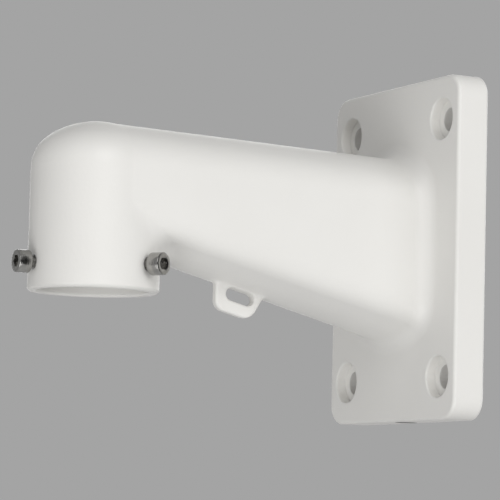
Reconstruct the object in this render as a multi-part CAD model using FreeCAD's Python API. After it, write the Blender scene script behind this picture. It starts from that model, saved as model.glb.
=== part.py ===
import FreeCAD, Part
import math
import os

from FreeCAD import Vector

# Camera wall bracket: a hollow casting that bolts to a wall and carries a camera under its elbow.
# Frame: millimetres, +Z up. The wall is the plane Y = 0 and the arm reaches out along -Y.
# The origin is the middle of the wall plate's back face, and the bracket is symmetric about X = 0.

# Wall plate, hollow behind
plate_width = 112.0
plate_height = 156.0
plate_thickness = 15.5
plate_corner_radius = 9.5
plate_front_round = 1.5
plate_back_chamfer = 0.6
plate_face_wall = 5.0
plate_rim_wall = 5.0

# Four bolts to the wall, with their heads sunk in the plate's front
bolt_spacing_across = 82.0
bolt_spacing_up = 117.0
bolt_hole_diameter = 10.8
counterbore_diameter = 18.8
counterbore_depth = 5.0
counterbore_chamfer = 0.4
bolt_boss_diameter = 25.0

# Ribs in the plate's hollow back, set back from the wall
rib_thickness = 4.0
rib_setback = 2.5
rib_spacing_across = 56.0
rib_spacing_up = 44.0

# Round hole in the plate's bottom edge, and the cable's way from it into the arm
cable_hole_diameter = 10.0
cable_hole_from_wall = 6.5
cable_way_width = 16.0

# Elbow: a collar open below that takes the camera's spigot, closed by a dome above
reach = 167.4
collar_diameter = 58.0
collar_bottom = -27.3
collar_edge_chamfer = 1.0
elbow_top = 48.0
elbow_dome_height = 20.8
shoulder_radius = 17.0
cavity_bevel = 13.0
elbow_wall = 6.0
bore_diameter = 49.0
bore_depth = 27.0
bore_chamfer = 0.8

# Arm from the elbow to the plate, let into the elbow a little below flush
arm_width_at_plate = 63.0
arm_wall = 4.5
arm_top_fall = 0.0292
arm_underside_at_axis = -2.95
arm_underside_fall = 0.2555
arm_keel_lean = 22.0
arm_keel_radius = 52.0
arm_lower_edge_radius = 12.0
arm_let_in = 0.25
elbow_fillet = 8.0
arm_root_fillet = 7.5

# Lug under the arm, with a slot for a safety rope
lug_thickness = 4.0
lug_front_from_axis = 59.5
lug_length = 17.8
lug_depth = 12.8
lug_rear_lean = 8.0
lug_front_corner_radius = 5.0
lug_rear_corner_radius = 6.5
lug_edge_round = 1.0
lug_root_fillet = 3.0
rope_slot_length = 14.4
rope_slot_height = 6.0
rope_slot_middle_along = 12.1
rope_slot_middle_depth = 3.9

# Cap screws that clamp the camera's spigot in the collar
screw_count = 3
screw_height_in_collar = 11.5
screw_thread_diameter = 6.0
screw_thread_clearance = 0.05
screw_hole_countersink = 0.25
screw_shank_length = 6.0
screw_tip_chamfer = 0.6
screw_head_diameter = 10.0
screw_head_height = 6.0
screw_head_chamfer = 0.5
screw_head_standoff = 2.2
socket_across_flats = 5.0
socket_depth = 3.0

arm_length = reach - plate_thickness
hollow_depth = plate_thickness - plate_face_wall
collar_radius = collar_diameter / 2
bore_radius = bore_diameter / 2
dome_spring = elbow_top - elbow_dome_height
crown_drop = ((collar_radius - shoulder_radius) ** 2 / (elbow_dome_height - shoulder_radius)
              - (elbow_dome_height - shoulder_radius)) / 2
crown_radius = elbow_dome_height + crown_drop
collar_axis_foot = Vector(0, -reach, 0)
across = Vector(1, 0, 0)
towards_wall = Vector(0, 1, 0)
up = Vector(0, 0, 1)
overshoot = 1.0


def arc_about(middle, start, end):
    """Arc about a middle point, the short way from one radius to another."""
    halfway = start + end
    halfway.normalize()
    return Part.Arc(middle + start, middle + halfway * start.Length, middle + end).toShape()


def turned_about_collar(outline):
    return Part.Face(Part.Wire(outline)).revolve(collar_axis_foot, up, 360)


def collar_point(radius, level):
    return collar_axis_foot + towards_wall * radius + up * level


def make_elbow():
    """Collar and dome, solid: the dome is a shallow crown that runs into a rounded shoulder."""
    floor_middle = collar_point(0, collar_bottom)
    floor_edge = collar_point(collar_radius - collar_edge_chamfer, collar_bottom)
    side_foot = collar_point(collar_radius, collar_bottom + collar_edge_chamfer)
    side = collar_point(collar_radius, dome_spring)
    top = collar_point(0, elbow_top)
    shoulder_middle = side - towards_wall * shoulder_radius
    crown_middle = top - up * crown_radius
    meeting = shoulder_middle - crown_middle
    meeting.normalize()
    return turned_about_collar([
        Part.makeLine(floor_middle, floor_edge),
        Part.makeLine(floor_edge, side_foot),
        Part.makeLine(side_foot, side),
        arc_about(shoulder_middle, side - shoulder_middle, meeting * shoulder_radius),
        arc_about(crown_middle, meeting * crown_radius, up * crown_radius),
        Part.makeLine(top, floor_middle),
    ])


def make_elbow_cavity():
    """Bore for the spigot with a chamfered mouth, a ledge that stops it, and the bevelled space above."""
    cavity_radius = collar_radius - elbow_wall
    cavity_top = elbow_top - elbow_wall
    corners = [
        collar_point(0, collar_bottom - overshoot),
        collar_point(bore_radius + bore_chamfer + overshoot, collar_bottom - overshoot),
        collar_point(bore_radius, collar_bottom + bore_chamfer),
        collar_point(bore_radius, collar_bottom + bore_depth),
        collar_point(cavity_radius, collar_bottom + bore_depth),
        collar_point(cavity_radius, cavity_top - cavity_bevel),
        collar_point(cavity_radius - cavity_bevel, cavity_top),
        collar_point(0, cavity_top),
    ]
    sides = zip(corners, corners[1:] + corners[:1])
    return turned_about_collar([Part.makeLine(start, end) for start, end in sides])


def arm_half_width(distance):
    start = collar_radius - arm_let_in
    return start + (arm_width_at_plate / 2 - start) * distance / arm_length


def arm_underside(distance):
    return arm_underside_at_axis - arm_underside_fall * distance


def arm_crown(distance):
    return elbow_top - arm_let_in - arm_top_fall * distance


def lengthwise_edges(form, side):
    """The edges that run along the arm, above (side 1) or below (side -1)."""
    return [
        edge for edge in form.Edges
        if edge.BoundBox.YLength > arm_length / 2 and edge.CenterOfMass.z * side > 0
    ]


def arm_bar(end, wall_at_axis=0.0, wall_at_end=0.0, headroom=0.0, wall=0.0):
    """Bar in the arm's taper, from the collar axis to a distance from it, with a rounded keel below.

    Its sides and underside lie a wall's thickness inside the arm's. Its top keeps the wall it has at the axis.
    """
    near_half_width = arm_half_width(0) - wall_at_axis
    far_half_width = arm_half_width(end) - wall_at_end
    wedge = Part.makeWedge(
        -near_half_width, -reach, -plate_height, -plate_height, -far_half_width,
        near_half_width, end - reach, arm_crown(0) - wall_at_axis + headroom,
        arm_crown(end) - wall_at_axis + headroom, far_half_width)
    lean = math.radians(arm_keel_lean)
    sharp_below_round = arm_keel_radius * (1 / math.cos(lean) - 1)
    keel_start = Vector(0, -reach, arm_underside(0) - sharp_below_round + wall_at_axis / math.cos(lean))
    keel_end = Vector(0, end - reach, arm_underside(end) - sharp_below_round + wall_at_end / math.cos(lean))
    flank_rise = plate_width * math.tan(lean)
    outline = [
        Vector(0, 0, 0),
        Vector(plate_width, 0, flank_rise),
        Vector(plate_width, 0, 2 * plate_height),
        Vector(-plate_width, 0, 2 * plate_height),
        Vector(-plate_width, 0, flank_rise),
        Vector(0, 0, 0),
    ]
    section = Part.Face(Part.makePolygon([keel_start + point for point in outline]))
    bar = wedge.common(section.extrude(keel_end - keel_start))
    side_edges = [edge for edge in lengthwise_edges(bar, -1) if abs(edge.CenterOfMass.x) > overshoot]
    bar = bar.makeFillet(arm_lower_edge_radius - wall, side_edges).Solids[0]
    keel = [edge for edge in lengthwise_edges(bar, -1) if abs(edge.CenterOfMass.x) < overshoot]
    return bar.makeFillet(arm_keel_radius - wall, keel).Solids[0]


def make_arm(end):
    """Arm, solid, from the collar axis to a distance from it. Its crown and shoulders carry on the dome's."""
    along = Vector(0, 1, -arm_top_fall)
    crown_middle = Vector(0, -reach, arm_crown(0) - crown_radius)
    crown = Part.makeCylinder(crown_radius, 3 * reach, crown_middle - along * reach, along)
    below_crown = Part.makeBox(
        2 * crown_radius, 3 * reach, plate_height, Vector(-crown_radius, -2 * reach, -plate_height))
    arm = arm_bar(end, headroom=overshoot).common(crown.fuse(below_crown)).removeSplitter()
    return arm.makeFillet(shoulder_radius, lengthwise_edges(arm, 1)).Solids[0]


def make_arm_cavity():
    """Cable space through the arm, open behind: its wall thins from the elbow to the plate."""
    end = reach + overshoot
    wall_at_end = elbow_wall + (arm_wall - elbow_wall) * end / arm_length
    cavity = arm_bar(end, elbow_wall, wall_at_end, wall=arm_wall)
    return cavity.makeChamfer(cavity_bevel, lengthwise_edges(cavity, 1)).Solids[0]


def upright_slab(width, height, radius, back, front):
    """Slab centred on the plate, between two distances from the wall, with its four corners rounded."""
    slab = Part.makeBox(width, front - back, height, Vector(-width / 2, -front, -height / 2))
    corner_edges = [edge for edge in slab.Edges if abs(edge.tangentAt(0).y) > 0.99]
    return slab.makeFillet(radius, corner_edges).Solids[0]


def make_plate():
    slab = upright_slab(plate_width, plate_height, plate_corner_radius, 0.0, plate_thickness)

    def outline_at(depth):
        return [edge for edge in slab.Edges if all(abs(vertex.Y + depth) < 1e-6 for vertex in edge.Vertexes)]

    slab = slab.makeFillet(plate_front_round, outline_at(plate_thickness)).Solids[0]
    return slab.makeChamfer(plate_back_chamfer, outline_at(0.0)).Solids[0]


def bolt_places():
    return [
        Vector(side * bolt_spacing_across / 2, 0, level * bolt_spacing_up / 2)
        for side in (-1, 1) for level in (-1, 1)
    ]


def make_arm_root():
    """The arm carried on into the plate's hollow as far as the ribs reach, cut open below for the cable."""
    way_corner = Vector(-cable_way_width / 2, -plate_thickness, -plate_height / 2)
    way = Part.makeBox(cable_way_width, plate_thickness, plate_height / 2, way_corner)
    return make_arm(reach - rib_setback).cut(way)


def make_plate_hollow():
    """Space behind the plate's face wall, left between its rim, bolt bosses, ribs and the arm's root."""
    standing = [make_arm_root()]
    for place in bolt_places():
        foot = place + towards_wall * overshoot
        standing.append(Part.makeCylinder(bolt_boss_diameter / 2, hollow_depth + overshoot, foot, -towards_wall))
    rib_depth = hollow_depth - rib_setback
    for side in (-1, 1):
        rib_across = side * rib_spacing_across / 2 - rib_thickness / 2
        standing.append(Part.makeBox(
            rib_thickness, rib_depth, plate_height, Vector(rib_across, -hollow_depth, -plate_height / 2)))
        rib_level = side * rib_spacing_up / 2 - rib_thickness / 2
        standing.append(Part.makeBox(
            plate_width, rib_depth, rib_thickness, Vector(-plate_width / 2, -hollow_depth, rib_level)))
    hollow = upright_slab(
        plate_width - 2 * plate_rim_wall, plate_height - 2 * plate_rim_wall,
        plate_corner_radius - plate_rim_wall, -overshoot, hollow_depth)
    return hollow.cut(standing)


def make_bolt_hole(place):
    """Wall bolt's hole with a flat-bottomed counterbore in front for its head, its rim chamfered."""
    front = place - towards_wall * (plate_thickness + overshoot)
    through = Part.makeCylinder(bolt_hole_diameter / 2, plate_thickness + 2 * overshoot, front, towards_wall)
    radius = counterbore_diameter / 2
    counterbore = Part.makeCylinder(radius, counterbore_depth + overshoot, front, towards_wall)
    rim_depth = counterbore_chamfer + overshoot
    rim = Part.makeCone(radius + rim_depth, radius, rim_depth, front, towards_wall)
    return through.fuse([counterbore, rim])


def make_cable_hole():
    below = Vector(0, -cable_hole_from_wall, -plate_height / 2 - overshoot)
    return Part.makeCylinder(cable_hole_diameter / 2, plate_rim_wall + 2 * overshoot, below, up)


def make_lug():
    """Flat lug in the bracket's middle plane, its front edge upright and its rear edge leaning back."""
    rear_from_axis = lug_front_from_axis + lug_length

    def corner(distance, depth):
        return Vector(-lug_thickness / 2, distance - reach, arm_underside(distance) - depth)

    front_low = corner(lug_front_from_axis, lug_depth)
    rear_low = corner(rear_from_axis, lug_depth)
    front_high = corner(lug_front_from_axis, -arm_wall / 2)
    rear_high = corner(rear_from_axis + lug_rear_lean, -arm_wall / 2)
    outline = Part.makePolygon([front_high, front_low, rear_low, rear_high, front_high])
    lug = Part.Face(outline).extrude(across * lug_thickness)

    def edge_through(point):
        edges = [edge for edge in lug.Edges if abs(edge.tangentAt(0).x) > 0.99]
        return [edge for edge in edges if any(vertex.Point.isEqual(point, 1e-6) for vertex in edge.Vertexes)]

    lug = lug.makeFillet(lug_front_corner_radius, edge_through(front_low)).Solids[0]
    lug = lug.makeFillet(lug_rear_corner_radius, edge_through(rear_low)).Solids[0]
    outer_edges = [
        edge for edge in lug.Edges
        if edge.BoundBox.XLength < 1e-6 and edge.CenterOfMass.z < rear_high.z
    ]
    return lug.makeFillet(lug_edge_round, outer_edges).Solids[0]


def make_rope_slot():
    """Long round-ended slot through the lug, parallel to the arm's underside."""
    distance = lug_front_from_axis + rope_slot_middle_along
    middle = Vector(
        -lug_thickness / 2 - overshoot, distance - reach, arm_underside(distance) - rope_slot_middle_depth)
    along = Vector(0, 1, -arm_underside_fall)
    along.normalize()
    square = across.cross(along)
    end_radius = rope_slot_height / 2
    half_straight = rope_slot_length / 2 - end_radius
    first_end = middle - along * half_straight
    last_end = middle + along * half_straight
    outline = Part.Wire([
        Part.makeLine(first_end + square * end_radius, last_end + square * end_radius),
        arc_about(last_end, square * end_radius, along * end_radius),
        arc_about(last_end, along * end_radius, -square * end_radius),
        Part.makeLine(last_end - square * end_radius, first_end - square * end_radius),
        arc_about(first_end, -square * end_radius, -along * end_radius),
        arc_about(first_end, -along * end_radius, square * end_radius),
    ])
    return Part.Face(outline).extrude(across * (lug_thickness + 2 * overshoot))


def screw_directions():
    """Outward directions of the clamp screws, the first one straight away from the wall."""
    turns = [2 * math.pi * index / screw_count for index in range(screw_count)]
    return [Vector(math.sin(turn), -math.cos(turn), 0) for turn in turns]


def screw_point(outward, distance):
    return collar_axis_foot + up * (collar_bottom + screw_height_in_collar) + outward * distance


def make_screw_hole(outward):
    """Tapped hole through the collar's wall, drawn plain at the thread's size, with a countersunk mouth."""
    hole_radius = screw_thread_diameter / 2 + screw_thread_clearance
    start = bore_radius - 2 * overshoot
    length = collar_radius + overshoot - start
    hole = Part.makeCylinder(hole_radius, length, screw_point(outward, start), outward)
    mouth_start = collar_radius - screw_hole_countersink
    mouth = Part.makeCone(
        hole_radius, hole_radius + 2 * screw_hole_countersink, 2 * screw_hole_countersink,
        screw_point(outward, mouth_start), outward)
    return hole.fuse(mouth)


def make_clamp_screw(outward):
    """Socket-head cap screw, run in part of the way, with its tip inside the collar's wall."""
    under_head = collar_radius + screw_head_standoff
    tip = under_head - screw_shank_length
    top = under_head + screw_head_height
    thread_radius = screw_thread_diameter / 2
    head_radius = screw_head_diameter / 2
    profile = [
        (tip, 0),
        (tip, thread_radius - screw_tip_chamfer),
        (tip + screw_tip_chamfer, thread_radius),
        (under_head, thread_radius),
        (under_head, head_radius),
        (top - screw_head_chamfer, head_radius),
        (top, head_radius - screw_head_chamfer),
        (top, 0),
        (tip, 0),
    ]
    outline = Part.makePolygon([screw_point(outward, along) + up * radius for along, radius in profile])
    body = Part.Face(outline).revolve(screw_point(outward, 0), outward, 360)
    socket_radius = socket_across_flats / math.sqrt(3)
    sideways = outward.cross(up)
    corners = []
    for step in range(7):
        turn = math.pi / 3 * step
        spoke = up * math.cos(turn) + sideways * math.sin(turn)
        corners.append(screw_point(outward, top - socket_depth) + spoke * socket_radius)
    socket = Part.Face(Part.makePolygon(corners)).extrude(outward * (socket_depth + overshoot))
    return body.cut(socket).Solids[0]


def joined(first, second, fillet):
    """Two forms made one, with a fillet all along the line where their surfaces meet."""
    body = first.fuse(second).removeSplitter().Solids[0]

    def lies_on(edge, form):
        return all(form.Shells[0].distToShape(Part.Vertex(point))[0] < 1e-3 for point in edge.discretize(5))

    edges = [edge for edge in body.Edges if not edge.Degenerated]
    seam = [edge for edge in edges if lies_on(edge, first) and lies_on(edge, second)]
    return body.makeFillet(fillet, seam).Solids[0]


def make_casting():
    body = joined(make_elbow(), make_arm(arm_length + plate_face_wall / 2), elbow_fillet)
    body = joined(body, make_plate(), arm_root_fillet)
    body = joined(body, make_lug(), lug_root_fillet)
    hollows = [make_elbow_cavity(), make_arm_cavity(), make_plate_hollow()]
    hollows += [make_cable_hole(), make_rope_slot()]
    hollows += [make_bolt_hole(place) for place in bolt_places()]
    hollows += [make_screw_hole(outward) for outward in screw_directions()]
    for hollow in hollows:
        body = body.cut(hollow)
    return body.removeSplitter().Solids[0]


os.makedirs("parts", exist_ok=True)
make_casting().exportStep("parts/bracket_casting.step")
screws = Part.makeCompound([make_clamp_screw(outward) for outward in screw_directions()])
screws.exportStep("parts/clamp_screws.step")
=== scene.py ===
import bpy
import bmesh
import math
from mathutils import Matrix, Vector


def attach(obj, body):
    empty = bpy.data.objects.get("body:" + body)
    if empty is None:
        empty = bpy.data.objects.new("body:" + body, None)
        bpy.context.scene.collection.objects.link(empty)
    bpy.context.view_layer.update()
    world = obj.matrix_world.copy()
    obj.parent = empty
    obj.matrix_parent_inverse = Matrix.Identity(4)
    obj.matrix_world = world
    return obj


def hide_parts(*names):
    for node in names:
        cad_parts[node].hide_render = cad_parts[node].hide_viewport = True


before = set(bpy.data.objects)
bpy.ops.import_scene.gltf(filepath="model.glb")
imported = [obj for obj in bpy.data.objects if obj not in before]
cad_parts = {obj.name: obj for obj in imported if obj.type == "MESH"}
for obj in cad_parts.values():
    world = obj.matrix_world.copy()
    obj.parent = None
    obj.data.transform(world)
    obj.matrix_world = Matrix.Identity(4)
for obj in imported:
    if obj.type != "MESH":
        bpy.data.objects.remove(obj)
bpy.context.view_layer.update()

# Bracket: wall plate, hollow arm, elbow, collar and rope lug in one aluminium pressure die casting, with
# warm white polyester powder sprayed on and baked to a satin skin with a faint orange peel. The clamp
# screws' holes are tapped after coating, so a ring of bare metal shows at each; its near-white colour is
# partly a painted highlight. The bolt holes and the cable hole get painted shade inside, as darker colour.


class Value:
    """A socket in a material's node tree. Arithmetic on it adds Math nodes."""

    def __init__(self, tree, socket=None):
        self.tree = tree
        self.socket = socket

    def node(self, kind, settings, sockets, output=0):
        """Adds a node: its settings first, then the values or links of its sockets."""
        made = self.tree.nodes.new(kind)
        for name, setting in settings.items():
            setattr(made, name, setting)
        for name, given in sockets.items():
            if isinstance(given, Value):
                self.tree.links.new(given.socket, made.inputs[name])
            else:
                made.inputs[name].default_value = given
        return Value(self.tree, made.outputs[output])

    def maths(self, operation, *given, clamped=False):
        """Adds a Math node on the values given."""
        settings = {"operation": operation, "use_clamp": clamped}
        return self.node("ShaderNodeMath", settings, dict(enumerate(given)))

    def __add__(self, other):
        return self.maths("ADD", self, other)

    def __sub__(self, other):
        return self.maths("SUBTRACT", self, other)

    def __rsub__(self, other):
        return self.maths("SUBTRACT", other, self)

    def __mul__(self, other):
        return self.maths("MULTIPLY", self, other)

    __radd__ = __add__
    __rmul__ = __mul__

    def clamp(self):
        """This value, kept between 0 and 1."""
        return self.maths("ADD", self, 0.0, clamped=True)

    def vector(self, operation, other=(0, 0, 0), output="Vector"):
        """Adds a Vector Math node on this vector and another."""
        return self.node("ShaderNodeVectorMath", {"operation": operation}, {0: self, 1: other}, output)

    def distance(self, other):
        """How far this place is from another."""
        return self.vector("DISTANCE", other, "Value")

    def place(self):
        """Where each point is on the object."""
        return self.node("ShaderNodeTexCoord", {}, {}, "Object")

    def grains(self, size, detail):
        """Noise with grains of about that size, in metres, from 0 to 1."""
        sockets = {"Vector": self.place(), "Scale": 1 / size, "Detail": detail}
        return self.node("ShaderNodeTexNoise", {}, sockets)

    def blend(self, first, second):
        """First colour where this value is 0, second where it is 1."""
        sockets = {"Factor": self, 6: first, 7: second}
        return self.node("ShaderNodeMix", {"data_type": "RGBA"}, sockets, 2)


def new_material(name, **constants):
    """A material with a Principled shader, its constant values set on the shader's own sockets."""
    material = bpy.data.materials.new(name)
    material.use_nodes = True
    shader = material.node_tree.nodes["Principled BSDF"]
    for socket, constant in constants.items():
        shader.inputs[socket.replace("_", " ")].default_value = constant
    return material, shader, Value(material.node_tree)


def feed(shader, name, value):
    """Links a value to the shader's socket of that name."""
    value.tree.links.new(value.socket, shader.inputs[name])


def within(distance, radius, fade):
    """1 up to that radius, then falling to 0 over the fade."""
    return ((radius + fade - distance) * (1 / fade)).clamp()


collar_axis = Vector((0, -0.1674, 0))
collar_radius = 0.029
screw_level = -0.0158
screw_turns = [math.radians(-90 + 120 * index) for index in range(3)]
screw_ways = [Vector((math.cos(turn), math.sin(turn), 0)) for turn in screw_turns]
screw_places = [collar_axis + Vector((0, 0, screw_level)) + way * collar_radius for way in screw_ways]

tapped_hole_radius = 0.00305
bare_ring_width = 0.0006
bare_ring_fade = 0.00012
ragged_size = 0.0012
ragged_width = 0.0003
bolt_place = Vector((0.041, 0, 0.0585))
bolt_hole_radius = 0.0054
cable_hole_place = Vector((0, -0.0065, 0))
cable_hole_radius = 0.005
cable_hole_top = -0.0729
hole_wall_reach = 0.00005
hole_wall_fade = 0.0001

coat_colour = (0.808, 0.798, 0.770, 1)
coat_shade = (0.784, 0.773, 0.744, 1)
bolt_hole_painted_shade = (0.61, 0.60, 0.58, 1)
cable_hole_painted_shade = (0.14, 0.14, 0.135, 1)
bare_metal_and_highlight = (0.96, 0.955, 0.94, 1)
cloud_size = 0.045
cloud_start = 0.35
cloud_contrast = 2.2
bare_metallic = 0.3
coat_roughness = 0.36
rough_patch_size = 0.009
rough_patch_range = 0.10
bare_polish = 0.14
peel_size = 0.0021
grit_size = 0.0005
grit_share = 0.25
skin_depth = 0.00004
edge_softness = 0.0013

coat, coat_shader, nodes = new_material("warm_white_powder_coat", Specular_IOR_Level=0.5, IOR=1.5)
place = nodes.place()
# Bare metal ring round each clamp screw's hole. Its near-white colour is partly a painted highlight, standing
# in for light caught by the hole's edge.
from_screw = place.distance(screw_places[0])
for screw_place in screw_places[1:]:
    from_screw = nodes.maths("MINIMUM", from_screw, place.distance(screw_place))
ragged = nodes.grains(ragged_size, detail=2.0) * ragged_width - ragged_width / 2
bare = within(from_screw + ragged, tapped_hole_radius + bare_ring_width, bare_ring_fade)

# Painted shade: the bolt holes' walls take a greyer colour, standing in for the shade inside them.
along_bolts = place.vector("MULTIPLY", (1, 0, 1))
one_quarter = along_bolts.vector("ABSOLUTE")
in_bolt_hole = within(one_quarter.distance(bolt_place), bolt_hole_radius + hole_wall_reach, hole_wall_fade)

# Painted shade: the cable hole's wall takes a near-black colour, standing in for the deep shade inside it.
from_above = place.vector("MULTIPLY", (1, 1, 0))
from_cable = from_above.distance(cable_hole_place)
height = nodes.node("ShaderNodeSeparateXYZ", {}, {"Vector": place}, "Z")
in_cable_hole = within(from_cable, cable_hole_radius + hole_wall_reach, hole_wall_fade)
in_cable_hole = in_cable_hole * nodes.maths("LESS_THAN", height, cable_hole_top)

cloud = ((nodes.grains(cloud_size, detail=3.0) - cloud_start) * cloud_contrast).clamp()
colour = cloud.blend(coat_colour, coat_shade)
colour = in_bolt_hole.blend(colour, bolt_hole_painted_shade)
colour = in_cable_hole.blend(colour, cable_hole_painted_shade)
colour = bare.blend(colour, bare_metal_and_highlight)
feed(coat_shader, "Base Color", colour)
feed(coat_shader, "Metallic", bare * bare_metallic)
rough_patches = nodes.grains(rough_patch_size, detail=3.0) * rough_patch_range
feed(coat_shader, "Roughness", rough_patches + coat_roughness - bare * bare_polish)
skin = nodes.grains(peel_size, detail=1.5) + nodes.grains(grit_size, detail=2.0) * grit_share
soft_edges = nodes.node("ShaderNodeBevel", {"samples": 6}, {"Radius": edge_softness})
feed(coat_shader, "Normal", nodes.node("ShaderNodeBump", {}, {
    "Strength": 1.0, "Distance": skin_depth, "Height": skin, "Normal": soft_edges}))
for material_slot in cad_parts["bracket_casting"].material_slots:
    material_slot.material = coat

# Clamp screws: three M6 socket-head cap screws in polished stainless steel, run part of the way through
# the collar's wall to grip the camera's spigot. The head is cold formed with a rounded rim, the socket
# is broached with a countersunk mouth and a drilled foot, and the thread is rolled at 1 mm pitch.
thread_radius = 0.003
thread_pitch = 0.001
thread_depth = 0.00055
shank_length = 0.006
shank_in_head = 0.0003
tip_chamfer = 0.0006
head_radius = 0.005
head_height = 0.006
head_standoff = 0.0022
rim_round = 0.0005
socket_flats = 0.005
socket_depth = 0.003
socket_mouth = 0.00305
mouth_slope = 0.6
drill_radius = 0.0023
drill_point = 0.0012
steps_round = 48
sharp_edge = math.radians(32)

steel_light = (0.42, 0.415, 0.40, 1)
steel_dark = (0.30, 0.295, 0.285, 1)
steel_patch_size = 0.002
steel_roughness = 0.08
steel_grain_size = 0.001
steel_grain_range = 0.08
mark_spacing = 0.0006
mark_depth = 0.00006
mark_range = 0.12


def socket_wall(angle):
    """Distance from the axis to the hexagon socket's wall at that angle."""
    from_flat = (angle + math.pi / 6) % (math.pi / 3) - math.pi / 6
    return socket_flats / 2 / math.cos(from_flat)


def next_ring(bm, ring, radius_at, level_at):
    """Extrudes a closed ring of edges to the radius and level that each angle round the axis asks for."""
    made = bmesh.ops.extrude_edge_only(bm, edges=ring)["geom"]
    for vert in [item for item in made if isinstance(item, bmesh.types.BMVert)]:
        angle = math.atan2(vert.co.y, vert.co.x)
        flat = Vector((vert.co.x, vert.co.y, 0)).normalized() * radius_at(angle)
        vert.co = Vector((flat.x, flat.y, level_at(angle)))
    return [item for item in made if isinstance(item, bmesh.types.BMEdge)]


def make_head():
    """Cap head on the Z axis, its underside at 0 and its socket open at the top."""
    bm = bmesh.new()
    bmesh.ops.create_cone(
        bm, cap_ends=True, segments=steps_round, radius1=head_radius, radius2=head_radius, depth=head_height,
        matrix=Matrix.Translation((0, 0, head_height / 2)))
    top = [edge for edge in bm.edges if all(vert.co.z > head_height / 2 for vert in edge.verts)]
    foot = [edge for edge in bm.edges if all(vert.co.z < head_height / 2 for vert in edge.verts)]
    bmesh.ops.bevel(bm, geom=top, offset=rim_round, affect="EDGES", segments=3, profile=0.5, material=-1)
    bmesh.ops.bevel(bm, geom=foot, offset=rim_round / 2, affect="EDGES", segments=2, profile=0.5, material=-1)
    face = max(bm.faces, key=lambda face: face.calc_center_median().z)
    ring = list(face.edges)
    bmesh.ops.delete(bm, geom=[face], context="FACES_ONLY")

    middle_of_rim = (head_radius - rim_round + socket_mouth) / 2
    socket_foot = head_height - socket_depth
    ring = next_ring(bm, ring, lambda angle: middle_of_rim, lambda angle: head_height)
    ring = next_ring(bm, ring, lambda angle: socket_mouth, lambda angle: head_height)
    ring = next_ring(
        bm, ring, socket_wall, lambda angle: head_height - (socket_mouth - socket_wall(angle)) * mouth_slope)
    ring = next_ring(bm, ring, socket_wall, lambda angle: socket_foot)
    ring = next_ring(bm, ring, lambda angle: drill_radius, lambda angle: socket_foot)
    drilled = bmesh.ops.edgeloop_fill(bm, edges=ring)["faces"]
    point = bmesh.ops.poke(bm, faces=drilled)["verts"]
    bmesh.ops.translate(bm, verts=point, vec=(0, 0, -drill_point))
    return bm


def make_shank():
    """Threaded shank on the Z axis, from just inside the head down to its chamfered tip."""
    bm = bmesh.new()
    turns = math.ceil(shank_length / thread_pitch) + 2
    root = thread_radius - thread_depth
    radius_and_share_of_pitch = [
        (root, 0.0), (root, 0.1), (thread_radius, 0.45), (thread_radius, 0.58), (root, 0.93), (root, 1.0)]
    verts = [bm.verts.new((radius, 0, share * thread_pitch)) for radius, share in radius_and_share_of_pitch]
    edges = [bm.edges.new(pair) for pair in zip(verts, verts[1:])]
    bmesh.ops.spin(
        bm, geom=verts + edges, cent=(0, 0, 0), axis=(0, 0, 1), dvec=(0, 0, thread_pitch / steps_round),
        angle=2 * math.pi * turns, steps=steps_round * turns)
    bmesh.ops.remove_doubles(bm, verts=bm.verts, dist=thread_pitch / 100)
    bmesh.ops.translate(bm, verts=bm.verts, vec=(0, 0, -shank_length - thread_pitch))
    for level, way in ((shank_in_head, 1), (-shank_length, -1)):
        cut = bmesh.ops.bisect_plane(
            bm, geom=list(bm.verts) + list(bm.edges) + list(bm.faces), dist=1e-7,
            plane_co=(0, 0, level), plane_no=(0, 0, way), clear_outer=True)["geom_cut"]
        rim = [item for item in cut if isinstance(item, bmesh.types.BMEdge)]
        bmesh.ops.edgeloop_fill(bm, edges=rim)
    for vert in bm.verts:
        room = thread_radius - tip_chamfer + (vert.co.z + shank_length)
        radius = vert.co.xy.length
        if radius > room:
            vert.co.xy *= room / radius
    return bm


def into_collar(turn):
    """Turns a screw to point out from the collar's axis that way, and moves it to its hole."""
    to_collar = Matrix.Translation(collar_axis + Vector((0, 0, screw_level)))
    to_hole = Matrix.Translation((collar_radius + head_standoff, 0, 0))
    lying_down = Matrix.Rotation(math.pi / 2, 4, "Y")
    return to_collar @ Matrix.Rotation(turn, 4, "Z") @ to_hole @ lying_down


def new_object(name, bm):
    """Puts a finished bmesh into the scene as an object of that name."""
    mesh = bpy.data.meshes.new(name)
    bm.to_mesh(mesh)
    bm.free()
    made = bpy.data.objects.new(name, mesh)
    bpy.context.scene.collection.objects.link(made)
    return made


bm = bmesh.new()
for part in (make_head(), make_shank()):
    bmesh.ops.recalc_face_normals(part, faces=part.faces)
    mesh = bpy.data.meshes.new("part")
    part.to_mesh(mesh)
    part.free()
    bm.from_mesh(mesh)
    bpy.data.meshes.remove(mesh)
one_screw = list(bm.verts) + list(bm.edges) + list(bm.faces)
copies = [bmesh.ops.duplicate(bm, geom=one_screw)["geom"] for turn in screw_turns[1:]]
for turn, geom in zip(screw_turns, [one_screw, *copies]):
    verts = [item for item in geom if isinstance(item, bmesh.types.BMVert)]
    bmesh.ops.transform(bm, matrix=into_collar(turn), verts=verts)
screws = new_object("socket_head_screws", bm)
screws.data.shade_smooth()
screws.data.set_sharp_from_angle(angle=sharp_edge)
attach(screws, "root")
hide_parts("clamp_screws")


def out_from_axis(place, way):
    """How far out from the collar's axis a place is, measured that way."""
    return place.vector("DOT_PRODUCT", way, "Value") - collar_axis.dot(way)


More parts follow.
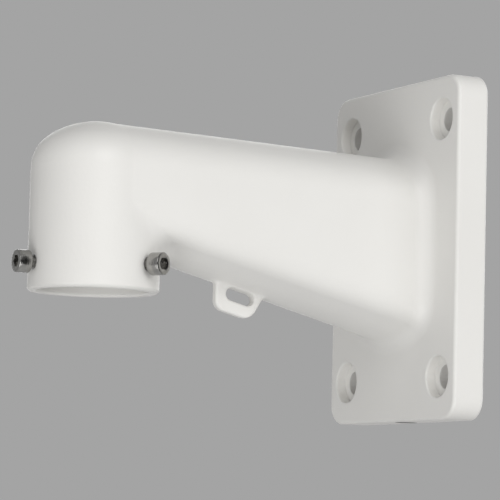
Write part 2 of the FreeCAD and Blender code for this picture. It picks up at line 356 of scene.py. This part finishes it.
steel, steel_shader, nodes = new_material("polished_stainless_steel", Metallic=1.0)
place = nodes.place()
along_screw = out_from_axis(place, screw_ways[0])
for way in screw_ways[1:]:
    along_screw = nodes.maths("MAXIMUM", along_screw, out_from_axis(place, way))
turning_marks = nodes.node("ShaderNodeTexNoise", {"noise_dimensions": "1D"}, {
    "W": along_screw, "Scale": 1 / mark_spacing, "Detail": 2.0, "Roughness": 0.6})
steel_grain = nodes.grains(steel_grain_size, detail=3.0) * steel_grain_range
feed(steel_shader, "Base Color", nodes.grains(steel_patch_size, detail=3.0).blend(steel_light, steel_dark))
feed(steel_shader, "Roughness", steel_grain + turning_marks * mark_range + steel_roughness)
feed(steel_shader, "Normal", nodes.node("ShaderNodeBump", {}, {
    "Strength": 1.0, "Distance": mark_depth, "Height": turning_marks}))
screws.data.materials.append(steel)

# Floor: a plain pale sheet, far enough below the bracket to leave room for views from underneath.
# It glows a little, to meet the backdrop's tone. The bracket's gloss reflects it, but it is left out
# of the soft light that falls on the bracket.
floor_level = -1.5
floor_half_side = 6
floor_pale = (0.76, 0.76, 0.755, 1)
floor_shade = (0.72, 0.72, 0.715, 1)
floor_patch_size = 0.6

bm = bmesh.new()
bmesh.ops.create_grid(bm, x_segments=1, y_segments=1, size=floor_half_side)
bmesh.ops.translate(bm, verts=bm.verts, vec=(0, 0, floor_level))
floor = new_object("floor", bm)
floor.visible_diffuse = False
floor_material, floor_shader, nodes = new_material(
    "pale_floor", Roughness=0.8, Specular_IOR_Level=0.2, Emission_Color=(1, 1, 1, 1), Emission_Strength=0.10)
feed(floor_shader, "Base Color", nodes.grains(floor_patch_size, detail=2.0).blend(floor_pale, floor_shade))
floor.data.materials.append(floor_material)

# Light: an even white backdrop and seven soft lamps, all facing the bracket's middle. The key and the
# side lamp light its right flank, two low lamps its underside, and two lamps behind it the back and the
# far side. The side lamp is left out of reflections, and the narrow glint shows in reflections alone.
middle = Vector((0, -0.09, 0))
backdrop_strength = 0.371
lamp_distance = 1.7
lamp_side = 1.0
low_lamp_distance = 1.2
low_lamp_side = 0.8

world = bpy.data.worlds.new("studio")
bpy.context.scene.world = world
world.use_nodes = True
backdrop = world.node_tree.nodes["Background"]
backdrop.inputs["Color"].default_value = (1.0, 1.0, 1.0, 1)
backdrop.inputs["Strength"].default_value = backdrop_strength


def direction(azimuth, elevation):
    """Unit vector that way, in degrees. Azimuth 0 is straight out from the wall, and 90 is to its right."""
    azimuth = math.radians(azimuth)
    elevation = math.radians(elevation)
    flat = math.cos(elevation)
    return Vector((math.sin(azimuth) * flat, -math.cos(azimuth) * flat, math.sin(elevation)))


def softbox(name, azimuth, elevation, distance, width, height, watts):
    """Lamp that faces the bracket's middle from that way, and isn't seen by the camera."""
    light = bpy.data.lights.new(name, "AREA")
    light.shape = "RECTANGLE"
    light.size = width
    light.size_y = height
    light.energy = watts
    lamp = bpy.data.objects.new(name, light)
    lamp.location = middle + distance * direction(azimuth, elevation)
    lamp.rotation_euler = (middle - lamp.location).to_track_quat("-Z", "Y").to_euler()
    lamp.visible_camera = False
    bpy.context.scene.collection.objects.link(lamp)
    return lamp


softbox("key", 80, 28, lamp_distance, lamp_side, lamp_side, watts=9.66)
side = softbox("side", 120, 10, lamp_distance, lamp_side, lamp_side, watts=5.82)
side.visible_glossy = False
softbox("low_front", 30, -32, low_lamp_distance, low_lamp_side, low_lamp_side, watts=3.72)
softbox("low_near", 70, -32, low_lamp_distance, low_lamp_side, low_lamp_side, watts=2.69)
softbox("back", 205, 14, lamp_distance, lamp_side, lamp_side, watts=7.5)
softbox("far_side", 248, 12, lamp_distance, lamp_side, lamp_side, watts=6.0)
glint = softbox("glint", 27, 24, lamp_distance, width=0.25, height=0.6, watts=1.2)
glint.visible_diffuse = False

# Dark card: black cloth on a frame, stood beside the bracket and facing its middle. It shows in
# reflections alone, where it darkens a screw's socket and part of a screw's head.
card_distance = 1.0
card_width = 1.4
card_height = 1.7
card_place = middle + card_distance * direction(118, 4)

bm = bmesh.new()
bmesh.ops.create_grid(bm, x_segments=1, y_segments=1, size=0.5)
bmesh.ops.scale(bm, verts=bm.verts, vec=(card_width, card_height, 1))
facing = (middle - card_place).to_track_quat("Z", "Y").to_matrix().to_4x4()
bmesh.ops.transform(bm, verts=bm.verts, matrix=Matrix.Translation(card_place) @ facing)
flag = new_object("dark_flag", bm)
flag.visible_camera = False
flag.visible_diffuse = False
flag.visible_shadow = False
black_cloth = new_material("black_cloth", Base_Color=(0.01, 0.01, 0.01, 1), Roughness=1.0)[0]
flag.data.materials.append(black_cloth)

# Camera: a long lens to the front right of the bracket, a little below it and slightly rolled. It sees
# the plate's front, the arm's right flank and the collar's mouth.
camera_place = Vector((1.141303, -0.687518, -0.132224))
camera_azimuth = 62.375
camera_elevation = -5.711
camera_roll = math.radians(1.413)
focal_length = 206.31
film_width = 36.0

backwards = direction(camera_azimuth, camera_elevation)
level_right = direction(camera_azimuth + 90, 0)
level_up = backwards.cross(level_right)
right = level_right * math.cos(camera_roll) + level_up * math.sin(camera_roll)
upward = level_up * math.cos(camera_roll) - level_right * math.sin(camera_roll)
turned = Matrix((right, upward, backwards)).transposed().to_4x4()
view = bpy.data.cameras.new("camera")
view.lens = focal_length
view.sensor_width = film_width
camera = bpy.data.objects.new("camera", view)
camera.matrix_world = Matrix.Translation(camera_place) @ turned
bpy.context.scene.collection.objects.link(camera)
bpy.context.scene.camera = camera
bpy.context.scene.view_settings.view_transform = "Standard"
